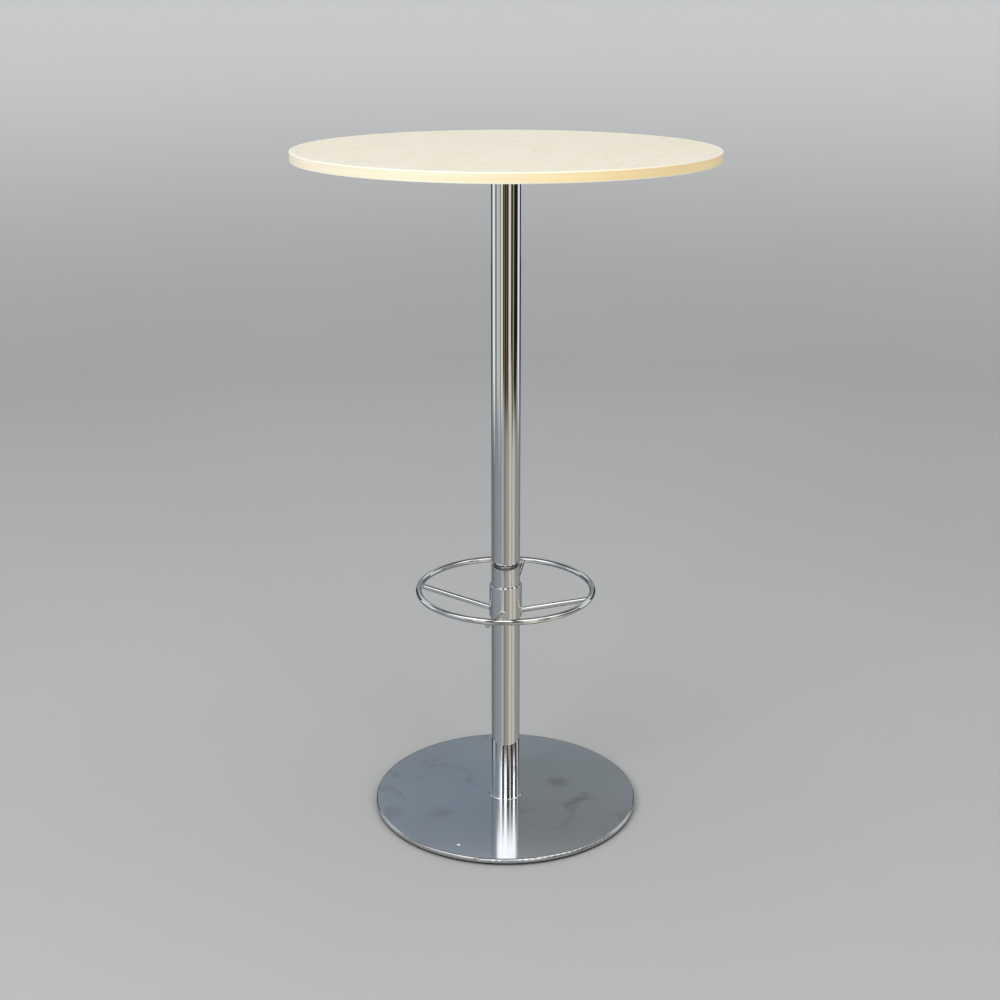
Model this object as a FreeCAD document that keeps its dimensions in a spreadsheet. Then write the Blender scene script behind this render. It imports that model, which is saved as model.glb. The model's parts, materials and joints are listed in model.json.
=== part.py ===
import FreeCAD, Part
import os
import Sketcher

# Round pedestal pub table: laminated top, chrome column, height-adjustable foot ring and round steel base.
# The origin is on the floor under the column's axis, with +Z up and the four spokes along X and Y.

# Driving sizes in millimetres, degrees and counts: name, value, what it sizes
SIZES = (
    ("overall_height", 1000, "floor to the upper face of the top"),
    ("top_diameter", 600, "top, measured over the edge band"),
    ("core_thickness", 12, "board in the middle of the top"),
    ("laminate_thickness", 1.2, "decor sheet above the board and balancing sheet below it"),
    ("band_thickness", 2, "edge band round the top"),
    ("band_corner", 1.2, "rounding of the edge band's two corners"),
    ("glue_gap", 0.05, "glue line between the edge band and what it surrounds"),
    ("plate_side", 240, "square mounting plate under the top"),
    ("plate_thickness", 4.5, "mounting plate"),
    ("plate_corner", 24, "rounding of the mounting plate's corners"),
    ("plate_screw_inset", 16, "screw centre to the mounting plate's edge"),
    ("wood_screw_diameter", 4.2, "wood screw shank"),
    ("wood_screw_length", 14, "wood screw under its head"),
    ("wood_screw_head", 8.4, "wood screw head across"),
    ("wood_screw_head_height", 2.6, "wood screw head"),
    ("wood_screw_head_edge", 1, "bevel round the wood screw head"),
    ("wood_screw_point", 3, "taper at the wood screw's end"),
    ("recess_span", 4, "cross recess from tip to tip"),
    ("recess_width", 1.1, "one arm of the cross recess"),
    ("recess_depth", 1.5, "cross recess"),
    ("hole_clearance", 0.4, "screw shank to its clearance hole, all round"),
    ("thread_gap", 0.05, "screw to its tapped or pilot hole, all round"),
    ("column_diameter", 42.7, "column tube"),
    ("column_wall", 2.3, "wall of the column tube"),
    ("plug_gap", 0.05, "plug to the bore that it is welded into, all round"),
    ("plug_bevel", 1.5, "bevel round each plug's inner end"),
    ("head_plug_length", 20, "plug in the upper end of the column"),
    ("foot_plug_length", 25, "plug in the lower end of the column"),
    ("bolt_count", 3, "countersunk screws at each end of the column"),
    ("bolt_edge", 6, "bolt centre to the plug's rim"),
    ("bolt_sink", 0.2, "countersunk head below the face that it is sunk into"),
    ("bolt_land", 0.4, "straight edge of a countersunk head"),
    ("sink_gap", 0.1, "countersunk head to its sink, all round"),
    ("bolt_bevel", 0.8, "bevel at a countersunk screw's end"),
    ("head_bolt_diameter", 6, "screw between mounting plate and column"),
    ("head_bolt_length", 18, "the same, overall"),
    ("head_bolt_head", 12, "the same, across its head"),
    ("head_bolt_socket", 4, "the same, across the flats of its socket"),
    ("foot_bolt_diameter", 8, "screw between base and column"),
    ("foot_bolt_length", 25, "the same, overall"),
    ("foot_bolt_head", 16, "the same, across its head"),
    ("foot_bolt_socket", 5, "the same, across the flats of its socket"),
    ("bolt_socket_depth", 2.4, "hexagon socket of the countersunk screws"),
    ("base_diameter", 400, "base plate"),
    ("base_thickness", 8, "base plate"),
    ("base_rim", 3, "rounding of the base plate's upper edge"),
    ("base_under_rim", 1, "rounding of the base plate's lower edge"),
    ("washer_lip", 4.6, "foot washer beyond the column"),
    ("washer_thickness", 1, "foot washer"),
    ("washer_edge", 0.5, "bevel of the foot washer's upper edge"),
    ("glide_count", 6, "glides under the base"),
    ("glide_inset", 24, "glide centre to the base plate's rim"),
    ("glide_diameter", 20, "glide"),
    ("glide_proud", 2, "glide below the base plate"),
    ("glide_edge", 0.6, "bevel round the glide's lower face"),
    ("glide_stem", 6, "stem of the glide"),
    ("glide_stem_length", 4.5, "stem of the glide"),
    ("glide_stem_gap", 0.05, "stem to its socket, all round"),
    ("glide_socket_spare", 0.5, "socket deeper than the stem is long"),
    ("foot_ring_height", 346, "floor to the middle of the hoop's rod"),
    ("hoop_diameter", 260, "hoop, measured along the middle of its rod"),
    ("hoop_rod", 9, "rod of the hoop"),
    ("spoke_rod", 8, "rod of a spoke"),
    ("spoke_rise", 13.7, "slope of a spoke, in degrees"),
    ("spoke_drop", 5.5, "middle of the hoop's rod down to the middle of a spoke"),
    ("spoke_setback", 1, "end of a spoke to the middle of the hoop's rod, seen from above"),
    ("weld_gap", 0.05, "fit-up gap at a welded joint"),
    ("running_gap", 0.075, "liner to column and liner to hub, all round"),
    ("liner_thickness", 0.5, "nylon liner in the hub"),
    ("liner_setback", 0.6, "liner end to hub end"),
    ("hub_wall", 2.3, "wall of the foot ring's hub"),
    ("hub_length", 50, "hub"),
    ("hub_edge", 0.8, "rounding of the hub's outer edges"),
    ("hub_skirt", 10.6, "lower end of the hub to the middle of a spoke"),
    ("clamp_angle", 30, "clamp to the back spoke, in degrees"),
    ("clamp_drop", 18, "upper end of the hub to the clamp's axis"),
    ("boss_wall", 2.5, "wall of the clamp boss round the set screw"),
    ("boss_height", 5, "clamp boss beyond the hub"),
    ("boss_edge", 0.6, "bevel round the clamp boss"),
    ("clamp_screw_diameter", 6, "set screw"),
    ("clamp_screw_length", 6, "set screw"),
    ("clamp_screw_bevel", 0.8, "bevel at both ends of the set screw"),
    ("clamp_screw_socket", 3, "hexagon socket of the set screw, across its flats"),
    ("clamp_screw_socket_depth", 3, "hexagon socket of the set screw"),
    ("pad_lip", 0.4, "brass pad beyond the set screw, all round"),
    ("pad_thickness", 1.0, "brass pad under the set screw"),
    ("pad_gap", 0.1, "pad to the hole in the hub, all round"),
    ("pad_seat_gap", 0.03, "pad to the liner and to the set screw"),
)

# Radii and heights that follow from the driving sizes
TOP_RADIUS = "(sizes.top_diameter / 2)"
BAND_BORE = f"({TOP_RADIUS} - sizes.band_thickness)"
PANEL_RADIUS = f"({BAND_BORE} - sizes.glue_gap)"
TOP_THICKNESS = "(sizes.core_thickness + 2 * sizes.laminate_thickness)"
TOP_UNDERSIDE = f"(sizes.overall_height - {TOP_THICKNESS})"
CORE_UNDERSIDE = f"({TOP_UNDERSIDE} + sizes.laminate_thickness)"
DECOR_UNDERSIDE = "(sizes.overall_height - sizes.laminate_thickness)"
PLATE_UNDERSIDE = f"({TOP_UNDERSIDE} - sizes.plate_thickness)"
PLATE_SCREW_PLACE = "(sizes.plate_side / 2 - sizes.plate_screw_inset)"
WOOD_SCREW_BITE = "(sizes.wood_screw_length - sizes.plate_thickness - sizes.laminate_thickness)"

BASE_RADIUS = "(sizes.base_diameter / 2)"
BASE_TOP = "(sizes.glide_proud + sizes.base_thickness)"
COLUMN_FOOT = f"({BASE_TOP} + sizes.washer_thickness)"
COLUMN_RADIUS = "(sizes.column_diameter / 2)"
COLUMN_BORE = f"({COLUMN_RADIUS} - sizes.column_wall)"
PLUG_RADIUS = f"({COLUMN_BORE} - sizes.plug_gap)"
BOLT_CIRCLE = f"({PLUG_RADIUS} - sizes.bolt_edge)"
GLIDE_CIRCLE = f"({BASE_RADIUS} - sizes.glide_inset)"

LINER_BORE = f"({COLUMN_RADIUS} + sizes.running_gap)"
LINER_RADIUS = f"({LINER_BORE} + sizes.liner_thickness)"
HUB_BORE = f"({LINER_RADIUS} + sizes.running_gap)"
HUB_RADIUS = f"({HUB_BORE} + sizes.hub_wall)"
WELD_RADIUS = f"({HUB_RADIUS} + sizes.weld_gap)"
HOOP_RADIUS = "(sizes.hoop_diameter / 2)"
SPOKE_REACH = f"({HOOP_RADIUS} - {HUB_BORE})"
SPOKE_START = f"(sizes.foot_ring_height - sizes.spoke_drop - {SPOKE_REACH} * tan(sizes.spoke_rise))"
SPOKE_LENGTH = f"(({SPOKE_REACH} - sizes.spoke_setback) / cos(sizes.spoke_rise))"
SPOKE_AT_HUB = f"({SPOKE_START} + sizes.hub_wall * tan(sizes.spoke_rise))"
HUB_UNDERSIDE = f"({SPOKE_AT_HUB} - sizes.hub_skirt)"
CLAMP_HEIGHT = f"({HUB_UNDERSIDE} + sizes.hub_length - sizes.clamp_drop)"
BOSS_FACE = f"({HUB_RADIUS} + sizes.boss_height)"
CLAMP_SCREW_RADIUS = "(sizes.clamp_screw_diameter / 2)"
BOSS_RADIUS = f"({CLAMP_SCREW_RADIUS} + sizes.boss_wall)"
PAD_RADIUS = f"({CLAMP_SCREW_RADIUS} + sizes.pad_lip)"
PAD_FACE = f"({LINER_RADIUS} + sizes.pad_seat_gap)"
SCREW_TIP = f"({PAD_FACE} + sizes.pad_thickness + sizes.pad_seat_gap)"
SCREW_END = f"({SCREW_TIP} + sizes.clamp_screw_length)"

# Directions round the column, in degrees from +X
SPOKE_SIDES = {"right": 0, "back": 90, "left": 180, "front": 270}
CLAMP_SIDES = {"right": "(90 - sizes.clamp_angle)", "left": "(90 + sizes.clamp_angle)"}

FULL_TURN = 360
HALF_TURN = "180"
RIGHT_ANGLE = 90
HEXAGON_STEP = 60
ABOUT_Y = "vector(0; 1; 0)"
ABOUT_Z = "vector(0; 0; 1)"
SAME_PLACE = 0.001

doc = FreeCAD.newDocument("pub_table")
sheet = doc.addObject("Spreadsheet::Sheet", "sizes")
for row, (alias, number, meaning) in enumerate(SIZES, start=1):
    sheet.set(f"A{row}", meaning)
    sheet.set(f"B{row}", str(number))
    sheet.setAlias(f"B{row}", alias)
doc.recompute()

subparts = []


def value(expression):
    """The number that an expression has with the sheet's present sizes."""
    return float(sheet.evalExpression(expression))


def place(item, height, turn="0", axis=ABOUT_Z):
    """Put a sub-part on the column's axis at a height, turned about an axis."""
    item.setExpression("Placement", f"placement(vector(0; 0; {height}); rotation({axis}; {turn}))")


def new_body(label):
    """An empty body that becomes the sub-part of that name."""
    body = doc.addObject("PartDesign::Body", label)
    body.Label = label
    subparts.append(body)
    return body


def origin_feature(body, role):
    """One of the body's own planes or axes."""
    return next(feature for feature in body.Origin.OriginFeatures if feature.Role == role)


def new_sketch(body, name, plane, offset="0"):
    """An empty sketch on one of the body's own planes, moved along the plane's normal."""
    sketch = body.newObject("Sketcher::SketchObject", name)
    sketch.AttachmentSupport = [(origin_feature(body, plane), "")]
    sketch.MapMode = "FlatFace"
    sketch.setExpression("AttachmentOffset.Base.z", offset)
    return sketch


def bind(sketch, kind, where, expression):
    """Add one constraint, named after what it holds, and tie it to the sheet."""
    index = sketch.addConstraint(Sketcher.Constraint(kind, *where, value(expression)))
    name = f"{kind}{index}"
    sketch.renameConstraint(index, name)
    sketch.setExpression(f"Constraints.{name}", expression)


def fix_point(sketch, geometry, point, x, y):
    """Hold one point of the sketch at x and y."""
    bind(sketch, "DistanceX", (-1, 1, geometry, point), x)
    bind(sketch, "DistanceY", (-1, 1, geometry, point), y)


def add_circle(sketch, radius, x="0", y="0"):
    """A circle about x and y."""
    centre = FreeCAD.Vector(value(x), value(y), 0)
    circle = sketch.addGeometry(Part.Circle(centre, FreeCAD.Vector(0, 0, 1), value(radius)))
    fix_point(sketch, circle, 3, x, y)
    bind(sketch, "Radius", (circle,), radius)


def add_outline(sketch, corners):
    """A closed outline of straight lines. The last line runs from the last corner to the first."""
    points = [FreeCAD.Vector(value(x), value(y), 0) for x, y in corners]
    ends = points[1:] + points[:1]
    lines = [sketch.addGeometry(Part.LineSegment(*pair)) for pair in zip(points, ends)]
    for line, following in zip(lines, lines[1:] + lines[:1]):
        sketch.addConstraint(Sketcher.Constraint("Coincident", line, 2, following, 1))
    for line, corner in zip(lines, corners):
        fix_point(sketch, line, 1, *corner)


def add_rectangle(sketch, half_width, half_depth, x="0", y="0"):
    """A rectangle about x and y."""
    signs = ((1, 1), (-1, 1), (-1, -1), (1, -1))
    add_outline(sketch, [(f"{x} + {across} * {half_width}", f"{y} + {along} * {half_depth}")
                         for across, along in signs])


def add_hexagon(sketch, across_flats, y="0"):
    """A hexagon about a point on the sketch's Y axis."""
    corner = f"({across_flats} / sqrt(3))"
    add_outline(sketch, [(f"{corner} * cos({turn})", f"{y} + {corner} * sin({turn})")
                         for turn in range(0, FULL_TURN, HEXAGON_STEP)])


def pad(body, sketch, length):
    """Extrude a sketch along its plane's normal."""
    feature = body.newObject("PartDesign::Pad", f"{sketch.Name}_pad")
    feature.Profile = sketch
    feature.setExpression("Length", length)
    doc.recompute()
    return feature


def pocket(body, sketch, depth=None, ahead=False):
    """Cut a sketch out of the body, to a depth or right through, behind or ahead of its plane."""
    before = body.Shape.Volume
    feature = body.newObject("PartDesign::Pocket", f"{sketch.Name}_pocket")
    feature.Profile = sketch
    feature.Reversed = ahead
    if depth is None:
        feature.Type = "ThroughAll"
        feature.Midplane = True
    else:
        feature.setExpression("Length", depth)
    doc.recompute()
    if feature.Shape.Volume >= before:
        raise ValueError(f"{feature.Name} cuts nothing")
    return feature


def revolve(body, sketch, axis):
    """Turn a profile once round one of its own lines or axes."""
    feature = body.newObject("PartDesign::Revolution", f"{sketch.Name}_turned")
    feature.Profile = sketch
    feature.ReferenceAxis = (sketch, [axis])
    feature.Angle = FULL_TURN
    doc.recompute()
    return feature


def ring_pattern(body, features, count, sweep=str(FULL_TURN)):
    """Repeat features round the body's Z axis."""
    feature = body.newObject("PartDesign::PolarPattern", f"{features[0].Name}_ring")
    feature.Originals = features
    feature.Axis = (origin_feature(body, "Z_Axis"), [""])
    feature.setExpression("Angle", sweep)
    feature.setExpression("Occurrences", count)
    body.Tip = feature
    doc.recompute()
    return feature


def rim_edges(shape, radius, height):
    """Names of the round edges about the Z axis with one radius and height."""
    names = []
    for index, edge in enumerate(shape.Edges, start=1):
        curve = edge.Curve
        if not isinstance(curve, Part.Circle):
            continue
        centre = FreeCAD.Vector(0, 0, value(height))
        if abs(curve.Radius - value(radius)) < SAME_PLACE and (curve.Center - centre).Length < SAME_PLACE:
            names.append(f"Edge{index}")
    return names


def dress_edges(body, kind, edges, size_name, size):
    """Round or bevel edges of the body's last feature."""
    base = body.Tip
    feature = body.newObject(f"PartDesign::{kind}", f"{base.Name}_{kind.lower()}")
    feature.Base = (base, edges)
    feature.setExpression(size_name, size)
    doc.recompute()
    return feature


def round_rim(body, radius, height, size):
    """Round the edge of a disc or ring."""
    return dress_edges(body, "Fillet", rim_edges(body.Shape, radius, height), "Radius", size)


def bevel_rim(body, radius, height, size):
    """Bevel the edge of a disc or ring."""
    return dress_edges(body, "Chamfer", rim_edges(body.Shape, radius, height), "Size", size)


def disc(label, radius, thickness, bore=None):
    """A round plate, or a ring where it has a bore, standing on its body's XY plane."""
    body = new_body(label)
    sketch = new_sketch(body, f"{label}_outline", "XY_Plane")
    add_circle(sketch, radius)
    if bore:
        add_circle(sketch, bore)
    pad(body, sketch, thickness)
    return body


def plate_screw_holes(body, name, radius, depth=None):
    """The ring of eight holes for the wood screws: one at each corner and one at each side's middle."""
    sketch = new_sketch(body, name, "XY_Plane")
    add_circle(sketch, radius, PLATE_SCREW_PLACE, PLATE_SCREW_PLACE)
    add_circle(sketch, radius, PLATE_SCREW_PLACE)
    ring_pattern(body, [pocket(body, sketch, depth, ahead=True)], "4")


def table_top():
    """Board, decor sheet, balancing sheet and the band that closes their edge."""
    pilot = "sizes.wood_screw_diameter / 2 + sizes.thread_gap"
    core = disc("top_core", PANEL_RADIUS, "sizes.core_thickness")
    plate_screw_holes(core, "core_pilot_holes", pilot, f"{WOOD_SCREW_BITE} + sizes.thread_gap")
    place(core, CORE_UNDERSIDE)

    place(disc("top_laminate", PANEL_RADIUS, "sizes.laminate_thickness"), DECOR_UNDERSIDE)

    backing = disc("backing_laminate", PANEL_RADIUS, "sizes.laminate_thickness")
    plate_screw_holes(backing, "backing_pilot_holes", pilot)
    place(backing, TOP_UNDERSIDE)

    band = disc("edge_band", TOP_RADIUS, TOP_THICKNESS, BAND_BORE)
    round_rim(band, TOP_RADIUS, TOP_THICKNESS, "sizes.band_corner")
    round_rim(band, TOP_RADIUS, "0", "sizes.band_corner")
    place(band, TOP_UNDERSIDE)


def countersunk_holes(body, diameter, head, height, ahead=False):
    """Clearance holes for the screws into a column plug, sunk at a height, going down or ahead and up."""
    centre = new_sketch(body, f"{body.Name}_bolt_centre", "XY_Plane", height)
    add_circle(centre, f"{diameter} / 2", "0", BOLT_CIRCLE)
    doc.recompute()
    hole = body.newObject("PartDesign::Hole", f"{body.Name}_bolt_hole")
    hole.Profile = centre
    hole.DepthType = "ThroughAll"
    hole.HoleCutType = "Countersink"
    hole.HoleCutCustomValues = True
    hole.HoleCutCountersinkAngle = RIGHT_ANGLE
    hole.Reversed = ahead
    hole.setExpression("Diameter", f"{diameter} + 2 * sizes.hole_clearance")
    widening = "(sizes.bolt_sink + sizes.bolt_land + sizes.sink_gap)"
    hole.setExpression("HoleCutDiameter", f"{head} + 2 * {widening}")
    doc.recompute()
    ring_pattern(body, [hole], "sizes.bolt_count")


def mounting_plate():
    """Square plate with rounded corners that joins the column to the top."""
    body = new_body("mounting_plate")
    outline = new_sketch(body, "plate_outline", "XY_Plane")
    add_rectangle(outline, "sizes.plate_side / 2", "sizes.plate_side / 2")
    pad(body, outline, "sizes.plate_thickness")
    upright = [f"Edge{index}" for index, edge in enumerate(body.Shape.Edges, start=1)
               if edge.BoundBox.ZLength > SAME_PLACE]
    dress_edges(body, "Fillet", upright, "Radius", "sizes.plate_corner")
    plate_screw_holes(body, "plate_screw_holes", "sizes.wood_screw_diameter / 2 + sizes.hole_clearance")
    countersunk_holes(body, "sizes.head_bolt_diameter", "sizes.head_bolt_head", "sizes.plate_thickness")
    place(body, PLATE_UNDERSIDE)


def plate_screws():
    """Pan-head wood screws with a cross recess, four at the plate's corners and four between them."""
    body = new_body("plate_screws")
    body.AllowCompound = True
    axis = PLATE_SCREW_PLACE
    shank = f"({axis} + sizes.wood_screw_diameter / 2)"
    head = f"({axis} + sizes.wood_screw_head / 2)"
    neck = "sizes.wood_screw_head_height"
    end = "(sizes.wood_screw_head_height + sizes.wood_screw_length)"
    arm = "sizes.recess_span / 2"
    side = "sizes.recess_width / 2"
    made = []
    for name, sideways in (("corner", PLATE_SCREW_PLACE), ("middle", "0")):
        profile = new_sketch(body, f"{name}_screw", "XZ_Plane", f"-{sideways}")
        add_outline(profile, [
            (axis, "0"),
            (f"{head} - sizes.wood_screw_head_edge", "0"),
            (head, "sizes.wood_screw_head_edge"),
            (head, neck),
            (shank, neck),
            (shank, f"{end} - sizes.wood_screw_point"),
            (axis, end),
        ])
        made.append(revolve(body, profile, "Edge7"))
        for half_width, half_depth in ((arm, side), (side, arm)):
            slot = new_sketch(body, f"{name}_recess", "XY_Plane")
            add_rectangle(slot, half_width, half_depth, axis, sideways)
            made.append(pocket(body, slot, "sizes.recess_depth", ahead=True))
    ring_pattern(body, made, "4")
    place(body, f"{PLATE_UNDERSIDE} - {neck}")


def plug(label, length, bolt_diameter):
    """Turned steel plug with tapped holes, its outer face on its body's XY plane."""
    body = disc(label, PLUG_RADIUS, length)
    bevel_rim(body, PLUG_RADIUS, length, "sizes.plug_bevel")
    tapped = new_sketch(body, f"{label}_tapped_hole", "XY_Plane")
    add_circle(tapped, f"{bolt_diameter} / 2 + sizes.thread_gap", "0", BOLT_CIRCLE)
    ring_pattern(body, [pocket(body, tapped)], "sizes.bolt_count")
    return body


def countersunk_screws(label, diameter, length, head, socket):
    """Countersunk socket screws on the plug's bolt circle, their heads on the body's XY plane."""
    body = new_body(label)
    body.AllowCompound = True
    profile = new_sketch(body, f"{label}_profile", "YZ_Plane")
    rim = f"({BOLT_CIRCLE} + {head} / 2)"
    shank = f"({BOLT_CIRCLE} + {diameter} / 2)"
    add_outline(profile, [
        (BOLT_CIRCLE, "0"),
        (rim, "0"),
        (rim, "sizes.bolt_land"),
        (shank, f"sizes.bolt_land + ({head} - {diameter}) / 2"),
        (shank, f"{length} - sizes.bolt_bevel"),
        (f"{shank} - sizes.bolt_bevel", length),
        (BOLT_CIRCLE, length),
    ])
    screw = revolve(body, profile, "Edge7")
    hexagon = new_sketch(body, f"{label}_socket", "XY_Plane")
    add_hexagon(hexagon, socket, BOLT_CIRCLE)
    recess = pocket(body, hexagon, "sizes.bolt_socket_depth", ahead=True)
    ring_pattern(body, [screw, recess], "sizes.bolt_count")
    return body


def column():
    """Tube with a welded plug at each end, the screws into the plugs, and the washer under the tube."""
    tube = disc("column_tube", COLUMN_RADIUS, f"{PLATE_UNDERSIDE} - {COLUMN_FOOT}", COLUMN_BORE)
    place(tube, COLUMN_FOOT)

    head_plug = plug("head_plug", "sizes.head_plug_length", "sizes.head_bolt_diameter")
    place(head_plug, PLATE_UNDERSIDE, HALF_TURN, ABOUT_Y)
    head_screws = countersunk_screws("head_screws", "sizes.head_bolt_diameter", "sizes.head_bolt_length",
                                     "sizes.head_bolt_head", "sizes.head_bolt_socket")
    place(head_screws, f"{TOP_UNDERSIDE} - sizes.bolt_sink", HALF_TURN, ABOUT_Y)

    place(plug("foot_plug", "sizes.foot_plug_length", "sizes.foot_bolt_diameter"), BASE_TOP)
    foot_screws = countersunk_screws("foot_screws", "sizes.foot_bolt_diameter", "sizes.foot_bolt_length",
                                     "sizes.foot_bolt_head", "sizes.foot_bolt_socket")
    place(foot_screws, "sizes.glide_proud + sizes.bolt_sink")

    rim = f"({COLUMN_RADIUS} + sizes.washer_lip)"
    washer = disc("foot_washer", rim, "sizes.washer_thickness", COLUMN_BORE)
    bevel_rim(washer, rim, "sizes.washer_thickness", "sizes.washer_edge")
    place(washer, BASE_TOP)


def base():
    """Round plate with a rounded rim, and the glides pressed into its underside."""
    plate = disc("base_plate", BASE_RADIUS, "sizes.base_thickness")
    round_rim(plate, BASE_RADIUS, "sizes.base_thickness", "sizes.base_rim")
    round_rim(plate, BASE_RADIUS, "0", "sizes.base_under_rim")
    countersunk_holes(plate, "sizes.foot_bolt_diameter", "sizes.foot_bolt_head", "0", ahead=True)
    socket = new_sketch(plate, "glide_socket", "XY_Plane")
    add_circle(socket, "sizes.glide_stem / 2 + sizes.glide_stem_gap", GLIDE_CIRCLE)
    sunk = pocket(plate, socket, "sizes.glide_stem_length + sizes.glide_socket_spare", ahead=True)
    ring_pattern(plate, [sunk], "sizes.glide_count")
    place(plate, "sizes.glide_proud")

    glides = new_body("base_glides")
    glides.AllowCompound = True
    profile = new_sketch(glides, "glide_profile", "XZ_Plane")
    rim = f"({GLIDE_CIRCLE} + sizes.glide_diameter / 2)"
    stem = f"({GLIDE_CIRCLE} + sizes.glide_stem / 2)"
    top = "(sizes.glide_proud + sizes.glide_stem_length)"
    add_outline(profile, [
        (GLIDE_CIRCLE, "0"),
        (f"{rim} - sizes.glide_edge", "0"),
        (rim, "sizes.glide_edge"),
        (rim, "sizes.glide_proud"),
        (stem, "sizes.glide_proud"),
        (stem, top),
        (GLIDE_CIRCLE, top),
    ])
    ring_pattern(glides, [revolve(glides, profile, "Edge7")], "sizes.glide_count")


def cylinder(name, radius, length):
    """A plain cylinder, used to build a welded rod or to cut one."""
    solid = doc.addObject("Part::Cylinder", name)
    solid.setExpression("Radius", radius)
    solid.setExpression("Height", length)
    return solid


def hoop_torus(name, rod_radius):
    """A round rod bent into a ring at the hoop's place, used for the hoop or to cope a spoke to it."""
    solid = doc.addObject("Part::Torus", name)
    solid.setExpression("Radius1", HOOP_RADIUS)
    solid.setExpression("Radius2", rod_radius)
    place(solid, "sizes.foot_ring_height")
    return solid


def cut(name, solid, tool):
    """One solid less another."""
    rest = doc.addObject("Part::Cut", name)
    rest.Base = solid
    rest.Tool = tool
    return rest


def spoke(side, degrees):
    """Rod that slopes up from the hub to the hoop, coped to both where it is welded to them."""
    label = f"foot_ring_spoke_{side}"
    rod = cylinder(f"{label}_rod", "sizes.spoke_rod / 2", SPOKE_LENGTH)
    start = f"vector({HUB_BORE}; 0; {SPOKE_START})"
    rod.setExpression("Placement", f"placement({start}; rotation({ABOUT_Y}; 90 - sizes.spoke_rise))")
    hub_cope = cylinder(f"{label}_hub_cope", WELD_RADIUS, "sizes.hub_length")
    place(hub_cope, HUB_UNDERSIDE)
    hoop_cope = hoop_torus(f"{label}_hoop_cope", "sizes.hoop_rod / 2 + sizes.weld_gap")
    coped = cut(label, cut(f"{label}_root", rod, hub_cope), hoop_cope)
    coped.Label = label
    place(coped, "0", str(degrees))
    subparts.append(coped)


def hub():
    """Sleeve round the column with two holes at its back for the clamp pads, and the liner inside it."""
    sleeve = disc("foot_ring_hub", HUB_RADIUS, "sizes.hub_length", HUB_BORE)
    round_rim(sleeve, HUB_RADIUS, "sizes.hub_length", "sizes.hub_edge")
    round_rim(sleeve, HUB_RADIUS, "0", "sizes.hub_edge")
    pad_hole = new_sketch(sleeve, "clamp_pad_hole", "YZ_Plane")
    add_circle(pad_hole, f"{PAD_RADIUS} + sizes.pad_gap", "0", "sizes.hub_length - sizes.clamp_drop")
    drilled = pocket(sleeve, pad_hole, f"2 * {HUB_RADIUS}", ahead=True)
    ring_pattern(sleeve, [drilled], "2", "2 * sizes.clamp_angle")
    place(sleeve, HUB_UNDERSIDE, CLAMP_SIDES["right"])

    length = "sizes.hub_length - 2 * sizes.liner_setback"
    liner = disc("hub_liner", LINER_RADIUS, length, LINER_BORE)
    place(liner, f"{HUB_UNDERSIDE} + sizes.liner_setback")


def clamp(side, turn):
    """Boss, set screw and pad that press the liner against the column from one side."""
    boss = new_body(f"clamp_boss_{side}")
    ring = new_sketch(boss, f"boss_{side}", "YZ_Plane")
    add_circle(ring, BOSS_RADIUS)
    add_circle(ring, f"{CLAMP_SCREW_RADIUS} + sizes.thread_gap")
    pad(boss, ring, BOSS_FACE)
    saddle = new_sketch(boss, f"boss_saddle_{side}", "XY_Plane")
    add_circle(saddle, WELD_RADIUS)
    pocket(boss, saddle)
    outer = [f"Edge{index}" for index, edge in enumerate(boss.Shape.Edges, start=1)
             if isinstance(edge.Curve, Part.Circle)
             and abs(edge.Curve.Radius - value(BOSS_RADIUS)) < SAME_PLACE]
    dress_edges(boss, "Chamfer", outer, "Size", "sizes.boss_edge")

    screw = new_body(f"clamp_screw_{side}")
    profile = new_sketch(screw, f"set_screw_{side}", "XZ_Plane")
    end_radius = f"({CLAMP_SCREW_RADIUS} - sizes.clamp_screw_bevel)"
    add_outline(profile, [
        (SCREW_TIP, "0"),
        (SCREW_TIP, end_radius),
        (f"{SCREW_TIP} + sizes.clamp_screw_bevel", CLAMP_SCREW_RADIUS),
        (f"{SCREW_END} - sizes.clamp_screw_bevel", CLAMP_SCREW_RADIUS),
        (SCREW_END, end_radius),
        (SCREW_END, "0"),
    ])
    revolve(screw, profile, "H_Axis")
    socket = new_sketch(screw, f"set_screw_socket_{side}", "YZ_Plane", SCREW_END)
    add_hexagon(socket, "sizes.clamp_screw_socket")
    pocket(screw, socket, "sizes.clamp_screw_socket_depth")

    button = new_body(f"clamp_pad_{side}")
    face = new_sketch(button, f"pad_face_{side}", "YZ_Plane", PAD_FACE)
    add_circle(face, PAD_RADIUS)
    pad(button, face, "sizes.pad_thickness")

    for item in (boss, screw, button):
        place(item, CLAMP_HEIGHT, turn)


def foot_ring():
    """Hoop on four spokes, the hub that slides on the column, and the clamps that hold it."""
    hoop = hoop_torus("foot_ring_hoop", "sizes.hoop_rod / 2")
    hoop.Label = "foot_ring_hoop"
    subparts.append(hoop)
    for side, degrees in SPOKE_SIDES.items():
        spoke(side, degrees)
    hub()
    for side, turn in CLAMP_SIDES.items():
        clamp(side, turn)


def check_and_write():
    """Write one file per sub-part once every object is sound."""
    doc.recompute()
    for item in doc.Objects:
        if {"Invalid", "Error"} & set(item.State):
            raise ValueError(f"{item.Name} did not recompute")
    for item in subparts:
        if item.Shape.isNull() or not item.Shape.isValid():
            raise ValueError(f"{item.Label} has no sound shape")
    os.makedirs("parts", exist_ok=True)
    for item in subparts:
        item.Shape.exportStep(f"parts/{item.Label}.step")
        print(item.Label, len(item.Shape.Solids), "solids", round(item.Shape.Volume, 1), "cubic mm")


table_top()
mounting_plate()
plate_screws()
column()
base()
foot_ring()
check_and_write()
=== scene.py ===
import json
import math

import bmesh
import bpy
from mathutils import Matrix, Vector


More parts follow.
